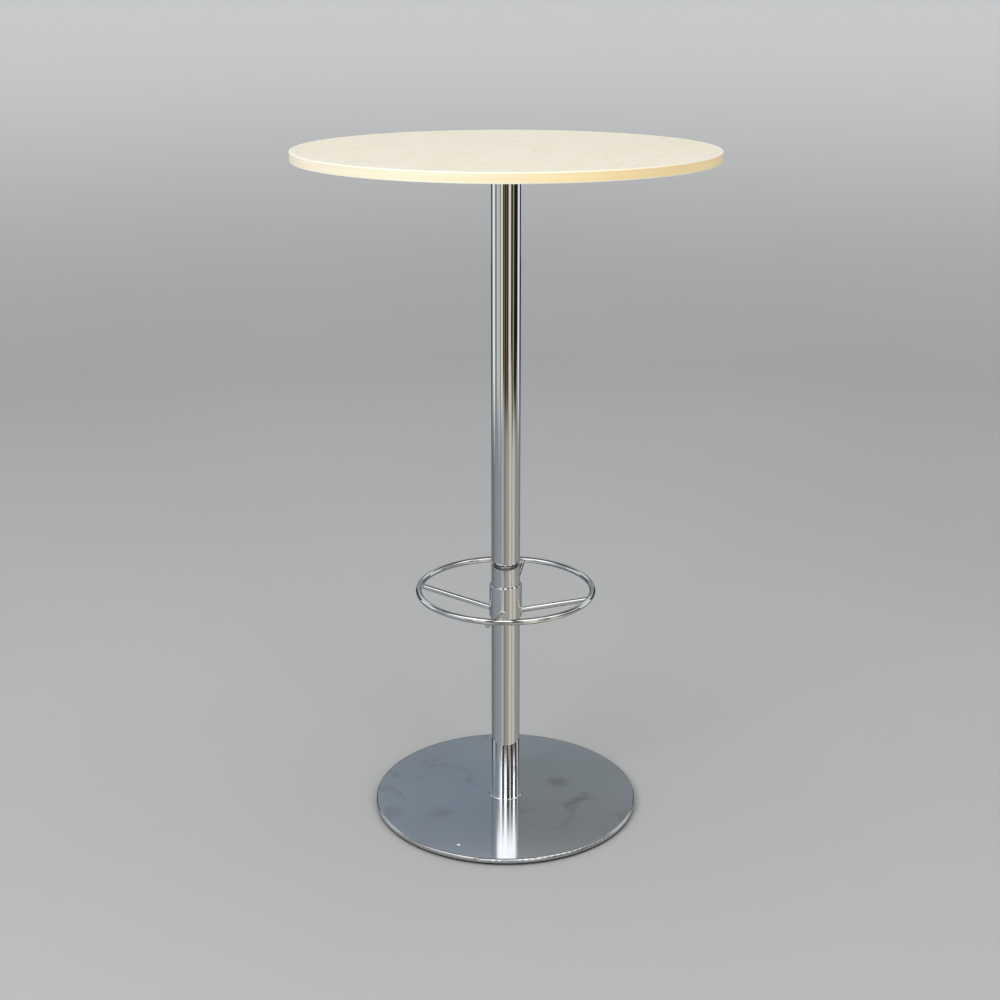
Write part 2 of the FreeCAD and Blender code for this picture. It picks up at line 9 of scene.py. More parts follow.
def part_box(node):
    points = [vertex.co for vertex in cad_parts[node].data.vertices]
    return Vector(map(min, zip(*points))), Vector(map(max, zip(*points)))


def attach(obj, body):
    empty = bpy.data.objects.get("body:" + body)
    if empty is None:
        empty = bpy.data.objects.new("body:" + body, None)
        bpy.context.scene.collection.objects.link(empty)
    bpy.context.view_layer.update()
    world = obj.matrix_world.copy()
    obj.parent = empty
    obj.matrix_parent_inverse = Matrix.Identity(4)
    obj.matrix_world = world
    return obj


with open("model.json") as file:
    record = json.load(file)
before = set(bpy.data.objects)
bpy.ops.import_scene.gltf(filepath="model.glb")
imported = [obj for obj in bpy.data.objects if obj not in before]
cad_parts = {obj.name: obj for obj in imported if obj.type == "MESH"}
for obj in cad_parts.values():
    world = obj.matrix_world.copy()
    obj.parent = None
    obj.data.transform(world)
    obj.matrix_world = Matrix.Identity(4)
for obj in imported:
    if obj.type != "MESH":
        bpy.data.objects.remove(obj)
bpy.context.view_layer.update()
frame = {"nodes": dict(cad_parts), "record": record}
nodes = frame["nodes"]

# Sizes of the top, in metres
BAND_LOW, BAND_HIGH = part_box("edge_band")
TOP_RADIUS = BAND_HIGH.x
TOP_FACE = BAND_HIGH.z
TOP_UNDERSIDE = BAND_LOW.z
BAND_CORNER = 0.0012

# Sizes of the foot ring: metres, the spokes' rise in radians, places round the column in degrees
HOOP_LOW, HOOP_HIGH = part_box("foot_ring_hoop")
HOOP_ROD_RADIUS = (HOOP_HIGH.z - HOOP_LOW.z) / 2
HOOP_HEIGHT = (HOOP_HIGH.z + HOOP_LOW.z) / 2
HOOP_RADIUS = HOOP_HIGH.x - HOOP_ROD_RADIUS
SPOKE_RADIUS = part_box("foot_ring_spoke_right")[1].y
SPOKE_RISE = math.radians(13.7)
SPOKE_DROP = 0.0055
SPOKE_SETBACK = 0.001
HUB_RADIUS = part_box("foot_ring_hub")[1].x
BOSS_LOW, BOSS_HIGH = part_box("clamp_boss_right")
BOSS_RADIUS = (BOSS_HIGH.z - BOSS_LOW.z) / 2
CLAMP_HEIGHT = (BOSS_HIGH.z + BOSS_LOW.z) / 2
SPOKE_SIDES = {"right": 0, "back": 90, "left": 180, "front": 270}
CLAMP_SIDES = {"right": 60, "left": 120}

# Welds of the foot ring: the legs of each kind and how deep a weld reaches into the metal, in metres
SPOKE_ROOT_LEG = 0.0015
SPOKE_HOOP_LEG = 0.0014
SPOKE_END_LEG = 0.0026
CLAMP_BOSS_LEG = 0.0016
WELD_DEPTH = 0.0003
# How much of a spoke's cut end is filled, how full the fillet is, and its steps from one metal to the other
END_FILL = 0.88
END_SQUARENESS = 9
FILLET_FULLNESS = 0.16
FILLET_STEPS = 6
# Points along a seam, and the ripples of its beads: how many in a round and how large
ROOT_POINTS = 96
HOOP_POINTS = 64
END_POINTS = 32
BEADS = (16, 0.07)
SWAYS = (3, 0.05)

# Sizes of the base, in metres
BASE_LOW, BASE_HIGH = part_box("base_plate")
BASE_RADIUS = BASE_HIGH.x
BASE_RIM = 0.003
BASE_UNDER_RIM = 0.001
BASE_PALE_SPOT = (-0.0352, -0.1693)
SHOE_MARKS = ((-0.155, -0.099), (-0.083, -0.084), (0.073, 0.045))

# Where the photograph was taken from: metres and radians, the lens and its sensor in millimetres
CAMERA_TURN = math.radians(11.7)
CAMERA_BACK = 2.2308
CAMERA_ASIDE = -0.0085
CAMERA_HEIGHT = 1.2150
CAMERA_PITCH = 0.2625
CAMERA_LENS = 57.185
CAMERA_SENSOR = 36.0
CAMERA_SHIFT = -0.085


class Surface:
    """One procedural material: a principled shader and the nodes that feed it."""

    def __init__(self, name, colour, roughness, metallic=0.0):
        self.material = bpy.data.materials.new(name)
        self.material.use_nodes = True
        self.tree = self.material.node_tree
        self.shader = self.tree.nodes["Principled BSDF"]
        self.shader.inputs["Base Color"].default_value = (*colour, 1)
        self.shader.inputs["Roughness"].default_value = roughness
        self.shader.inputs["Metallic"].default_value = metallic

    def add(self, kind, inputs=None, **settings):
        """A node with its settings and inputs; an input is a number, a colour or another node's output."""
        node = self.tree.nodes.new(kind)
        for key, setting in settings.items():
            setattr(node, key, setting)
        for key, source in (inputs or {}).items():
            self.feed(node.inputs[key], source)
        return node

    def feed(self, socket, source):
        """Link a socket to an output, or set its value."""
        if isinstance(source, bpy.types.NodeSocket):
            self.tree.links.new(source, socket)
        else:
            socket.default_value = source

    def to_shader(self, name, source):
        self.feed(self.shader.inputs[name], source)

    def place(self):
        """The point on the object, in metres."""
        return self.add("ShaderNodeTexCoord").outputs["Object"]

    def stretched(self, vector, scale, turn=0.0):
        """The same point after a turn about Z and a stretch."""
        turned = self.add("ShaderNodeMapping", {"Vector": vector, "Rotation": (0, 0, turn)})
        mapped = self.add("ShaderNodeMapping", {"Vector": turned.outputs["Vector"], "Scale": scale})
        return mapped.outputs["Vector"]

    def noise(self, vector, scale, detail=3.0, roughness=0.5, distortion=0.0):
        return self.add("ShaderNodeTexNoise", {
            "Vector": vector,
            "Scale": scale,
            "Detail": detail,
            "Roughness": roughness,
            "Distortion": distortion,
        }).outputs["Fac"]

    def math(self, operation, first, second=0.0):
        return self.add("ShaderNodeMath", {0: first, 1: second}, operation=operation).outputs["Value"]

    def span(self, source, low, high, to_low=0.0, to_high=1.0):
        """A value moved from one range to another, held at the ends."""
        node = self.add("ShaderNodeMapRange", {
            "Value": source,
            "From Min": low,
            "From Max": high,
            "To Min": to_low,
            "To Max": to_high,
        }, interpolation_type="SMOOTHSTEP")
        return node.outputs["Result"]

    def blend(self, factor, first, second):
        """A colour between two colours."""
        node = self.add("ShaderNodeMix", data_type="RGBA")
        self.feed(node.inputs[0], factor)
        for index, colour in ((6, first), (7, second)):
            self.feed(node.inputs[index], (*colour, 1) if isinstance(colour, tuple) else colour)
        return node.outputs[2]

    def axes(self, vector):
        return self.add("ShaderNodeSeparateXYZ", {"Vector": vector}).outputs

    def distance(self, x, y, centre=(0.0, 0.0)):
        """How far a point is from an upright line."""
        aside = self.math("POWER", self.math("SUBTRACT", x, centre[0]), 2.0)
        ahead = self.math("POWER", self.math("SUBTRACT", y, centre[1]), 2.0)
        return self.math("SQRT", self.math("ADD", aside, ahead))

    def bump(self, height, strength, distance):
        node = self.add("ShaderNodeBump", {"Height": height, "Strength": strength, "Distance": distance})
        self.to_shader("Normal", node.outputs["Normal"])


def maple_laminate():
    """Pale maple decor: faint feathery figure that runs front to back, fine fibre and a satin face."""
    s = Surface("maple_laminate", (0.84, 0.78, 0.64), 0.42)
    place = s.place()
    grain = math.radians(-86)
    cloud = s.noise(s.stretched(place, (2.5, 7.0, 1.0), grain), 1.0, 3.0, 0.5, 0.6)
    feather = s.noise(s.stretched(place, (8.0, 62.0, 1.0), grain), 1.0, 5.0, 0.62, 1.6)
    fibre = s.noise(s.stretched(place, (14.0, 420.0, 1.0), grain), 1.0, 4.0, 0.6)
    pores = s.noise(s.stretched(place, (45.0, 1500.0, 1.0), grain), 1.0, 2.0)
    ground = s.blend(s.span(cloud, 0.35, 0.65), (0.845, 0.788, 0.636), (0.820, 0.762, 0.606))
    figured = s.blend(s.span(feather, 0.46, 0.70, 0.0, 0.75), ground, (0.765, 0.690, 0.530))
    pale = s.blend(s.span(feather, 0.24, 0.42, 0.6, 0.0), figured, (0.880, 0.830, 0.705))
    fine = s.blend(s.span(fibre, 0.45, 0.75, 0.0, 0.35), pale, (0.770, 0.695, 0.535))
    s.to_shader("Base Color", s.blend(s.span(pores, 0.60, 0.78, 0.0, 0.22), fine, (0.680, 0.585, 0.420)))
    s.to_shader("Roughness", s.span(fibre, 0.2, 0.8, 0.38, 0.47))
    s.bump(s.math("ADD", fibre, pores), 0.10, 0.0002)
    return s.material


def maple_band():
    """Plastic edge band: grain along the rim, painted light and shade across it, paler on the window side
    and deeper yellow on the other, painted highlights on both corners, one butt joint.
    """
    s = Surface("maple_band", (0.90, 0.79, 0.54), 0.38)
    x, y, z = s.axes(s.place())
    turn = s.math("ARCTAN2", y, x)
    along = s.math("MULTIPLY", turn, TOP_RADIUS)
    flat = s.add("ShaderNodeCombineXYZ", {"X": along, "Y": z}).outputs["Vector"]
    figure = s.noise(s.stretched(flat, (5.0, 260.0, 1.0)), 1.0, 4.0, 0.55, 0.4)
    fibre = s.noise(s.stretched(flat, (30.0, 1400.0, 1.0)), 1.0, 3.0)
    # Painted light and shade: the band is paler towards the window lamp and deeper yellow away from it
    painted_light_side = s.span(x, -0.35 * TOP_RADIUS, 0.85 * TOP_RADIUS)
    light = s.blend(painted_light_side, (0.915, 0.850, 0.665), (0.945, 0.745, 0.400))
    dark = s.blend(painted_light_side, (0.875, 0.780, 0.555), (0.905, 0.680, 0.330))
    body = s.blend(s.span(figure, 0.32, 0.70), light, dark)
    grained = s.blend(s.span(fibre, 0.45, 0.75, 0.0, 0.30), body, (0.800, 0.640, 0.370))
    # Painted highlight: pale lines along the rounded upper and lower corners of the band
    upper = s.span(z, TOP_FACE - 1.4 * BAND_CORNER, TOP_FACE - 0.6 * BAND_CORNER)
    lower = s.span(z, TOP_UNDERSIDE + 0.8 * BAND_CORNER, TOP_UNDERSIDE + 1.6 * BAND_CORNER, 1.0, 0.0)
    painted_edge_highlight = s.math("MULTIPLY", s.math("MAXIMUM", upper, lower), 0.85)
    edge_highlighted = s.blend(painted_edge_highlight, grained, (0.960, 0.940, 0.870))
    joint = s.span(s.math("ABSOLUTE", s.math("SUBTRACT", turn, math.radians(97))), 0.0004, 0.0012, 0.7, 0.0)
    s.to_shader("Base Color", s.blend(joint, edge_highlighted, (0.45, 0.34, 0.20)))
    s.to_shader("Roughness", s.span(figure, 0.3, 0.7, 0.33, 0.44))
    s.bump(fibre, 0.08, 0.0002)
    return s.material


def polished_chrome(name="polished_chrome", dull=0.0):
    """Mirror plating: faint waviness, hairline polish marks and a few hand smudges."""
    s = Surface(name, (0.57, 0.575, 0.58), 0.05, 1.0)
    place = s.place()
    smudge = s.noise(place, 9.0, 5.0, 0.6, 0.5)
    hair = s.noise(s.stretched(place, (700.0, 700.0, 25.0)), 1.0, 2.0)
    wave = s.noise(s.stretched(place, (30.0, 30.0, 7.0)), 1.0, 1.0)
    film = s.span(smudge, 0.56, 0.74, 0.0, 0.07)
    lines = s.span(hair, 0.55, 0.80, 0.020 + dull, 0.050 + dull)
    s.to_shader("Roughness", s.math("ADD", film, lines))
    tint = s.blend(s.span(smudge, 0.50, 0.78), (0.575, 0.580, 0.588), (0.530, 0.533, 0.538))
    s.to_shader("Base Color", tint)
    s.bump(wave, 0.25, 0.00012)
    return s.material


def satin_steel():
    """Base plate: straight brushing, shoe marks, a small pale spot near the front, bright rim, painted shade
    on the lower edge.
    """
    s = Surface("satin_steel", (0.47, 0.48, 0.50), 0.2, 1.0)
    place = s.place()
    x, y, z = s.axes(place)
    brush = math.radians(12)
    grain = s.noise(s.stretched(place, (6.0, 1300.0, 1.0), brush), 1.0, 4.0, 0.6)
    marks = s.noise(place, 14.0, 4.0, 0.6, 0.5)
    haze = s.noise(place, 3.5, 3.0, 0.5)
    marked = s.span(marks, 0.57, 0.75)
    for centre in SHOE_MARKS:
        near = s.span(s.distance(x, y, centre), 0.003, 0.027, 1.0, 0.0)
        marked = s.math("MAXIMUM", marked, s.math("MULTIPLY", near, s.span(marks, 0.36, 0.56, 0.3, 1.0)))
    steel = s.blend(s.span(haze, 0.35, 0.65), (0.500, 0.515, 0.535), (0.455, 0.465, 0.485))
    brushed = s.blend(s.span(grain, 0.30, 0.80, 0.0, 0.5), steel, (0.545, 0.555, 0.570))
    worn = s.blend(marked, brushed, (0.345, 0.342, 0.362))
    # A small pale, non-metallic spot near the front of the plate
    pale_spot = s.span(s.distance(x, y, BASE_PALE_SPOT), 0.0016, 0.0032, 1.0, 0.0)
    spotted = s.blend(pale_spot, worn, (0.86, 0.86, 0.85))
    rim = s.span(s.distance(x, y), BASE_RADIUS - 1.5 * BASE_RIM, BASE_RADIUS - 0.7 * BASE_RIM)
    rimmed = s.blend(rim, spotted, (0.490, 0.500, 0.512))
    # Painted shade: the lowest part of the rim and its under-rim rounding are painted near black, for the
    # dark gap under the plate
    under = s.span(z, BASE_LOW.z + 1.6 * BASE_UNDER_RIM, BASE_LOW.z + 2.8 * BASE_UNDER_RIM, 1.0, 0.0)
    s.to_shader("Base Color", s.blend(under, rimmed, (0.035, 0.035, 0.038)))
    s.to_shader("Metallic", s.math("SUBTRACT", 1.0, pale_spot))
    brushed_gloss = s.math("ADD", s.span(grain, 0.2, 0.8, 0.080, 0.120), s.math("MULTIPLY", marked, 0.06))
    dull = s.math("MULTIPLY", s.math("MAXIMUM", pale_spot, under), 0.15)
    edge_gloss = s.math("ADD", dull, s.math("MULTIPLY", rim, 0.07))
    s.to_shader("Roughness", s.math("ADD", brushed_gloss, edge_gloss))
    s.bump(s.math("MULTIPLY", grain, s.math("SUBTRACT", 1.0, rim)), 0.014, 0.0002)
    return s.material


def turned_steel():
    """Bare lathe-turned steel: fine rings about the column's axis and a little tarnish."""
    s = Surface("turned_steel", (0.45, 0.45, 0.46), 0.32, 1.0)
    place = s.place()
    x, y, _ = s.axes(place)
    rings = s.math("SINE", s.math("MULTIPLY", s.distance(x, y), 9000.0))
    tarnish = s.noise(place, 60.0, 4.0)
    s.to_shader("Base Color", s.blend(s.span(tarnish, 0.4, 0.7), (0.47, 0.47, 0.48), (0.36, 0.34, 0.32)))
    s.to_shader("Roughness", s.span(tarnish, 0.3, 0.7, 0.26, 0.40))
    s.bump(rings, 0.15, 0.00005)
    return s.material


def powder_coat():
    """Black powder coat with its fine pebbled skin."""
    s = Surface("powder_coat", (0.025, 0.025, 0.027), 0.5)
    place = s.place()
    pebble = s.noise(place, 900.0, 2.0)
    dust = s.noise(place, 22.0, 5.0, 0.6)
    dusty = s.blend(s.span(dust, 0.45, 0.75), (0.022, 0.022, 0.024), (0.060, 0.058, 0.056))
    s.to_shader("Base Color", dusty)
    s.to_shader("Roughness", s.span(dust, 0.3, 0.7, 0.42, 0.58))
    s.bump(pebble, 0.30, 0.0003)
    return s.material


def plated(name, colour, rubbed, roughness):
    """Small turned steel with a plated or blackened skin that is rubbed in places."""
    s = Surface(name, colour, roughness, 1.0)
    place = s.place()
    patch = s.noise(place, 260.0, 4.0, 0.6)
    fine = s.noise(place, 2600.0, 2.0)
    s.to_shader("Base Color", s.blend(s.span(patch, 0.45, 0.72), colour, rubbed))
    s.to_shader("Roughness", s.span(fine, 0.3, 0.7, roughness - 0.08, roughness + 0.08))
    s.bump(fine, 0.08, 0.0001)
    return s.material


def moulded_nylon():
    """Natural nylon: slightly cloudy, scuffed where it meets the floor."""
    s = Surface("moulded_nylon", (0.80, 0.79, 0.74), 0.45)
    s.shader.inputs["Subsurface Weight"].default_value = 0.15
    s.shader.inputs["Subsurface Radius"].default_value = (0.002, 0.002, 0.0015)
    place = s.place()
    cloud = s.noise(place, 90.0, 3.0)
    scuff = s.noise(place, 700.0, 4.0, 0.65)
    _, _, z = s.axes(place)
    low = s.span(z, 0.0002, 0.0012, 0.8, 0.0)
    soil = s.math("MULTIPLY", low, s.span(scuff, 0.40, 0.65))
    clean = s.blend(s.span(cloud, 0.35, 0.65), (0.82, 0.81, 0.76), (0.75, 0.74, 0.68))
    s.to_shader("Base Color", s.blend(soil, clean, (0.30, 0.28, 0.25)))
    s.to_shader("Roughness", s.span(scuff, 0.3, 0.7, 0.38, 0.55))
    s.bump(scuff, 0.10, 0.0001)
    return s.material


def fibreboard():
    """Raw board: pressed fibres and darker flecks."""
    s = Surface("fibreboard", (0.50, 0.36, 0.22), 0.85)
    place = s.place()
    fibre = s.noise(s.stretched(place, (500.0, 500.0, 1400.0)), 1.0, 5.0, 0.65)
    fleck = s.noise(place, 1100.0, 2.0)
    body = s.blend(s.span(fibre, 0.35, 0.70), (0.53, 0.39, 0.25), (0.40, 0.28, 0.165))
    s.to_shader("Base Color", s.blend(s.span(fleck, 0.62, 0.75, 0.0, 0.6), body, (0.20, 0.13, 0.07)))
    s.to_shader("Roughness", s.span(fibre, 0.3, 0.7, 0.78, 0.92))
    s.bump(fibre, 0.35, 0.0003)
    return s.material


def backing_sheet():
    """Balancing sheet under the board: matt, faintly mottled paper laminate."""
    s = Surface("backing_sheet", (0.66, 0.62, 0.54), 0.6)
    place = s.place()
    mottle = s.noise(place, 45.0, 5.0, 0.6)
    tooth = s.noise(place, 1600.0, 2.0)
    paper = s.blend(s.span(mottle, 0.35, 0.68), (0.690, 0.650, 0.570), (0.610, 0.565, 0.480))
    s.to_shader("Base Color", paper)
    s.to_shader("Roughness", s.span(mottle, 0.3, 0.7, 0.52, 0.66))
    s.bump(tooth, 0.15, 0.0002)
    return s.material


def dress_nodes():
    """Give every solid the finish of its material slot."""
    finishes = {
        "decor_laminate": maple_laminate(),
        "edge_band": maple_band(),
        "board": fibreboard(),
        "backing_laminate": backing_sheet(),
        "chrome": polished_chrome(),
        "satin_steel": satin_steel(),
        "polished_washer": polished_chrome("polished_washer", 0.03),
        "plain_steel": turned_steel(),
        "black_plate": powder_coat(),
        "black_screws": plated("black_oxide", (0.035, 0.035, 0.040), (0.13, 0.13, 0.135), 0.34),
        "zinc_screws": plated("zinc_plate", (0.62, 0.62, 0.58), (0.50, 0.48, 0.42), 0.34),
        "nylon": moulded_nylon(),
        "brass": plated("brass", (0.66, 0.47, 0.20), (0.48, 0.32, 0.14), 0.30),
    }
    for row in frame["record"]["subparts"]:
        materials = nodes[row["node"]].data.materials
        materials.clear()
        materials.append(finishes[row["material_slot"]])


def ring_mesh(name, rings, material, closed):
    """A smooth surface from ring to ring of equal points; a closed one returns to its first ring."""
    bm = bmesh.new()
    made = [[bm.verts.new(point) for point in ring] for ring in rings]
    following_rings = made[1:] + made[:1] if closed else made[1:]
    for ring, following in zip(made, following_rings):
        for index in range(len(ring)):
            after = (index + 1) % len(ring)
            bm.faces.new((ring[index], ring[after], following[after], following[index]))
    if closed:
        bmesh.ops.recalc_face_normals(bm, faces=bm.faces)
    for face in bm.faces:
        face.smooth = True
    mesh = bpy.data.meshes.new(name)
    bm.to_mesh(mesh)
    bm.free()
    mesh.materials.append(material)
    item = bpy.data.objects.new(name, mesh)
    bpy.context.scene.collection.objects.link(item)
    return item


def hub_surface(point):
    """The point of the hub's outer face that is nearest, and the face's direction there."""
    normal = Vector((point.x, point.y, 0)).normalized()
    return normal * HUB_RADIUS + Vector((0, 0, point.z)), normal


def hoop_surface(point):
    """The point of the hoop's rod that is nearest, and the rod's direction outward there."""
    middle = Vector((point.x, point.y, 0)).normalized() * HOOP_RADIUS + Vector((0, 0, HOOP_HEIGHT))
    normal = (point - middle).normalized()
    return middle + normal * HOOP_ROD_RADIUS, normal


def rod_directions(rise):
    """Along, across and above a rod that rises away from the column on its +X side."""
    along = Vector((math.cos(rise), 0, math.sin(rise)))
    return along, Vector((0, 1, 0)), Vector((-math.sin(rise), 0, math.cos(rise)))


def root_seam(rod_radius, rise, height, leg):
    """Where a rod's side meets the hub: corners, the rod's outward side, the way off, and two weld legs."""
    along, across, above = rod_directions(rise)
    seam = []
    for index in range(ROOT_POINTS):
        turn = 2 * math.pi * index / ROOT_POINTS
        outward = across * math.cos(turn) + above * math.sin(turn)
        offset = outward * rod_radius
        reach = (math.sqrt(HUB_RADIUS ** 2 - offset.y ** 2) - offset.x) / math.cos(rise)
        seam.append((Vector((0, 0, height)) + along * reach + offset, outward, along, leg, leg))
    return seam


def hoop_seam(leg, end_leg):
    """Where a spoke meets the hoop: over its upper side, then back along its cut end, filled by the weld."""
    along, across, above = rod_directions(SPOKE_RISE)
    middle = Vector((HOOP_RADIUS, 0, HOOP_HEIGHT))
    drop = SPOKE_DROP * math.cos(SPOKE_RISE)
    end_back = SPOKE_SETBACK / math.cos(SPOKE_RISE) + SPOKE_DROP * math.sin(SPOKE_RISE)
    end_below = math.sqrt(HOOP_ROD_RADIUS ** 2 - end_back ** 2)
    first_turn = math.asin((drop - end_below) / SPOKE_RADIUS)
    half_width = SPOKE_RADIUS * math.cos(first_turn)
    seam = []
    for index in range(HOOP_POINTS + 1):
        turn = first_turn + (math.pi - 2 * first_turn) * index / HOOP_POINTS
        below = drop - SPOKE_RADIUS * math.sin(turn)
        back = math.sqrt(HOOP_ROD_RADIUS ** 2 - below ** 2)
        corner = middle - along * back - above * below + across * SPOKE_RADIUS * math.cos(turn)
        seam.append((corner, across * math.cos(turn) + above * math.sin(turn), -along, leg, leg))
    for index in range(END_POINTS + 1):
        aside = half_width * (2 * index / END_POINTS - 1)
        edge = middle - along * end_back - above * end_below + across * aside
        side = across * (aside / half_width) ** END_SQUARENESS
        face = drop + math.sqrt(SPOKE_RADIUS ** 2 - aside ** 2) - end_below
        seam.append((edge, (along + side).normalized(), -above, END_FILL * face, end_leg))
    return seam


def weld_section(carrier, corner, outward, away, rod_leg, carrier_leg):
    """One cross-section of a weld, from the surface that carries a rod to the rod, over a hollow fillet."""
    corner, normal = carrier(corner)
    sideways = (outward - normal * outward.dot(normal)).normalized()
    on_carrier, lifted = carrier(corner + sideways * carrier_leg)
    on_rod = corner + away * rod_leg
    hollow = corner + (on_carrier + on_rod - 2 * corner) * FILLET_FULLNESS
    curve = []
    for step in range(FILLET_STEPS + 1):
        t = step / FILLET_STEPS
        curve.append(on_carrier * (1 - t) ** 2 + hollow * 2 * t * (1 - t) + on_rod * t ** 2)
    in_carrier = on_carrier - lifted * WELD_DEPTH
    in_rod = on_rod - outward * WELD_DEPTH
    return [in_carrier, *curve, in_rod, corner - (outward + normal) * WELD_DEPTH]


def weld(name, carrier, seam, side, material):
    """A weld along a closed seam, with the ripples of its beads, on one side of the column."""
    spin = Matrix.Rotation(math.radians(side), 4, "Z")
    beads, bead_size = BEADS
    sways, sway_size = SWAYS
    rings = []
    for index, (corner, outward, away, rod_leg, carrier_leg) in enumerate(seam):
        turn = 2 * math.pi * index / len(seam)
        ripple = 1 + bead_size * math.sin(beads * turn) + sway_size * math.sin(sways * turn + side)
        section = weld_section(carrier, corner, outward, away, rod_leg * ripple, carrier_leg * ripple)
        rings.append([spin @ point for point in section])
    piece = ring_mesh(name, rings, material, closed=True)
    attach(piece, "foot_ring")


def welds():
    """Every weld of the foot ring: spokes to hub, spokes to hoop, clamp bosses to hub."""
    plated_weld = polished_chrome("plated_weld", 0.08)
    spoke_on_axis = HOOP_HEIGHT - SPOKE_DROP - HOOP_RADIUS * math.tan(SPOKE_RISE)
    for name, side in SPOKE_SIDES.items():
        root = root_seam(SPOKE_RADIUS, SPOKE_RISE, spoke_on_axis, SPOKE_ROOT_LEG)
        weld(f"weld_spoke_root_{name}", hub_surface, root, side, plated_weld)
        end = hoop_seam(SPOKE_HOOP_LEG, SPOKE_END_LEG)
        weld(f"weld_spoke_hoop_{name}", hoop_surface, end, side, plated_weld)
    for name, side in CLAMP_SIDES.items():
        root = root_seam(BOSS_RADIUS, 0.0, CLAMP_HEIGHT, CLAMP_BOSS_LEG)
        weld(f"weld_clamp_boss_{name}", hub_surface, root, side, plated_weld)


def studio_mesh(name, profile, material):
    """A turned surface about the column's axis, for the floor and what stands round it."""
    turns = [2 * math.pi * index / STUDIO_POINTS for index in range(STUDIO_POINTS)]
    rings = []
    for radius, height in profile:
        rings.append([(radius * math.cos(turn), radius * math.sin(turn), height) for turn in turns])
    item = ring_mesh(name, rings, material, closed=False)
    return item


def floor_surface():
    """Pale grey sweep, faintly uneven, a little lighter where it turns up into the wall."""
    s = Surface("studio_floor", (0.56, 0.56, 0.555), 0.7)
    s.shader.inputs["Specular IOR Level"].default_value = 0.0
    place = s.place()
    _, _, z = s.axes(place)
    shade = s.noise(place, 1.2, 4.0)
    floor = s.blend(shade, (0.430, 0.433, 0.433), (0.460, 0.462, 0.460))
    s.to_shader("Base Color", s.blend(s.span(z, 0.0, 1.2), floor, (0.74, 0.745, 0.75)))
    return s.material


# The studio, in metres: the floor's flat part, its sweep up into the wall, the wall and the ring of cards
FLOOR_RADIUS = 3.0
SWEEP_RADIUS = 1.6
SWEEP_STEPS = 12
WALL_HEIGHT = 3.4
CARD_RADIUS = 1.7
CARD_LIFT = 0.003
STUDIO_POINTS = 128

# Tones of the cards that the polished metal mirrors, as light levels
BLACK = (0.010, 0.010, 0.012)
DUSK = (0.100, 0.100, 0.105)
UMBER = (0.250, 0.195, 0.115)
TAN = (0.480, 0.420, 0.300)
CREAM = (1.120, 1.040, 0.840)
ASH = (0.310, 0.340, 0.345)
STONE = (0.370, 0.365, 0.350)
SLATE = (0.325, 0.385, 0.455)
SKY = (0.600, 0.700, 0.780)
PALE = (0.800, 0.820, 0.830)
WHITE = (1.200, 1.240, 1.280)
LAMPLIT = (2.300, 2.300, 2.270)
BRIGHT = (2.200, 2.200, 2.150)
GLARE = (4.000, 4.000, 4.000)

# Upright cards: degrees from the camera, to its right, where each card starts, and its tone
LOW_CARDS = (
    (-180, BLACK), (-160, STONE), (-154, BLACK), (-126, WHITE), (-95, ASH), (-75, PALE), (-49, ASH),
    (-40, CREAM), (-25, BLACK), (-16, UMBER), (-9, BLACK), (1, UMBER), (7, BLACK), (15, UMBER), (21, CREAM),
    (37, BLACK), (53, TAN), (63, BLACK), (100, WHITE), (126, BLACK), (154, STONE), (160, BLACK),
)
HIGH_CARDS = (
    (-180, SLATE), (-128, SKY), (-60, WHITE), (-50, BRIGHT), (-42, GLARE), (-30, BLACK), (-15, WHITE),
    (-11, GLARE), (9, BLACK), (33, BRIGHT), (45, BLACK), (66, GLARE), (84, BLACK), (97, ASH), (112, WHITE),
    (130, ASH),
)
# The same height seen straight in a metal face and not by way of a second one: a plain wall
WALL_TONES = ((-180, SLATE), (-110, PALE), (0, SKY), (110, PALE), (178, ASH))
# Above that, in front: tall windows with dark gaps, up to the ceiling
TALL_CARDS = (
    (-180, LAMPLIT), (-28, DUSK), (-16, LAMPLIT), (9, DUSK), (22, LAMPLIT), (52, DUSK), (60, LAMPLIT),
)
# Floor seen in the metal: degrees from the camera and tone, one running into the next
FLOOR_TONES = (
    (-180, (0.15, 0.16, 0.18)), (-115, (0.23, 0.25, 0.27)), (-80, (0.37, 0.40, 0.43)),
    (-40, (0.41, 0.43, 0.45)), (-24, (0.63, 0.65, 0.65)), (-8, (0.30, 0.30, 0.27)), (8, (0.50, 0.49, 0.43)),
    (24, (0.54, 0.52, 0.45)), (34, (0.98, 0.93, 0.79)), (48, (0.57, 0.55, 0.48)), (62, (0.88, 0.84, 0.73)),
    (85, (0.42, 0.41, 0.39)), (115, (0.42, 0.42, 0.41)), (140, (0.26, 0.27, 0.28)),
    (180, (0.15, 0.16, 0.18)),
)
# Heights between which one band of the cards gives way to the next, in metres
TO_LEDGE = (0.54, 0.60)
TO_UPPER_CARDS = (0.79, 0.84)
TO_GLARE = (1.00, 1.07)
TO_WALL = (1.12, 1.20)
TO_CEILING = (1.50, 1.62)


def card_ramp(s, share, cards, interpolation):
    """Tones by direction, from a list of degrees and tone."""
    ramp = s.add("ShaderNodeValToRGB", {"Fac": share})
    ramp.color_ramp.interpolation = interpolation
    stops = ramp.color_ramp.elements
    while len(stops) < len(cards):
        stops.new(0.5)
    for stop, (degrees, tone) in zip(stops, cards):
        stop.position = degrees / 360 + 0.5
        stop.color = (*tone, 1)
    return ramp.outputs["Color"]


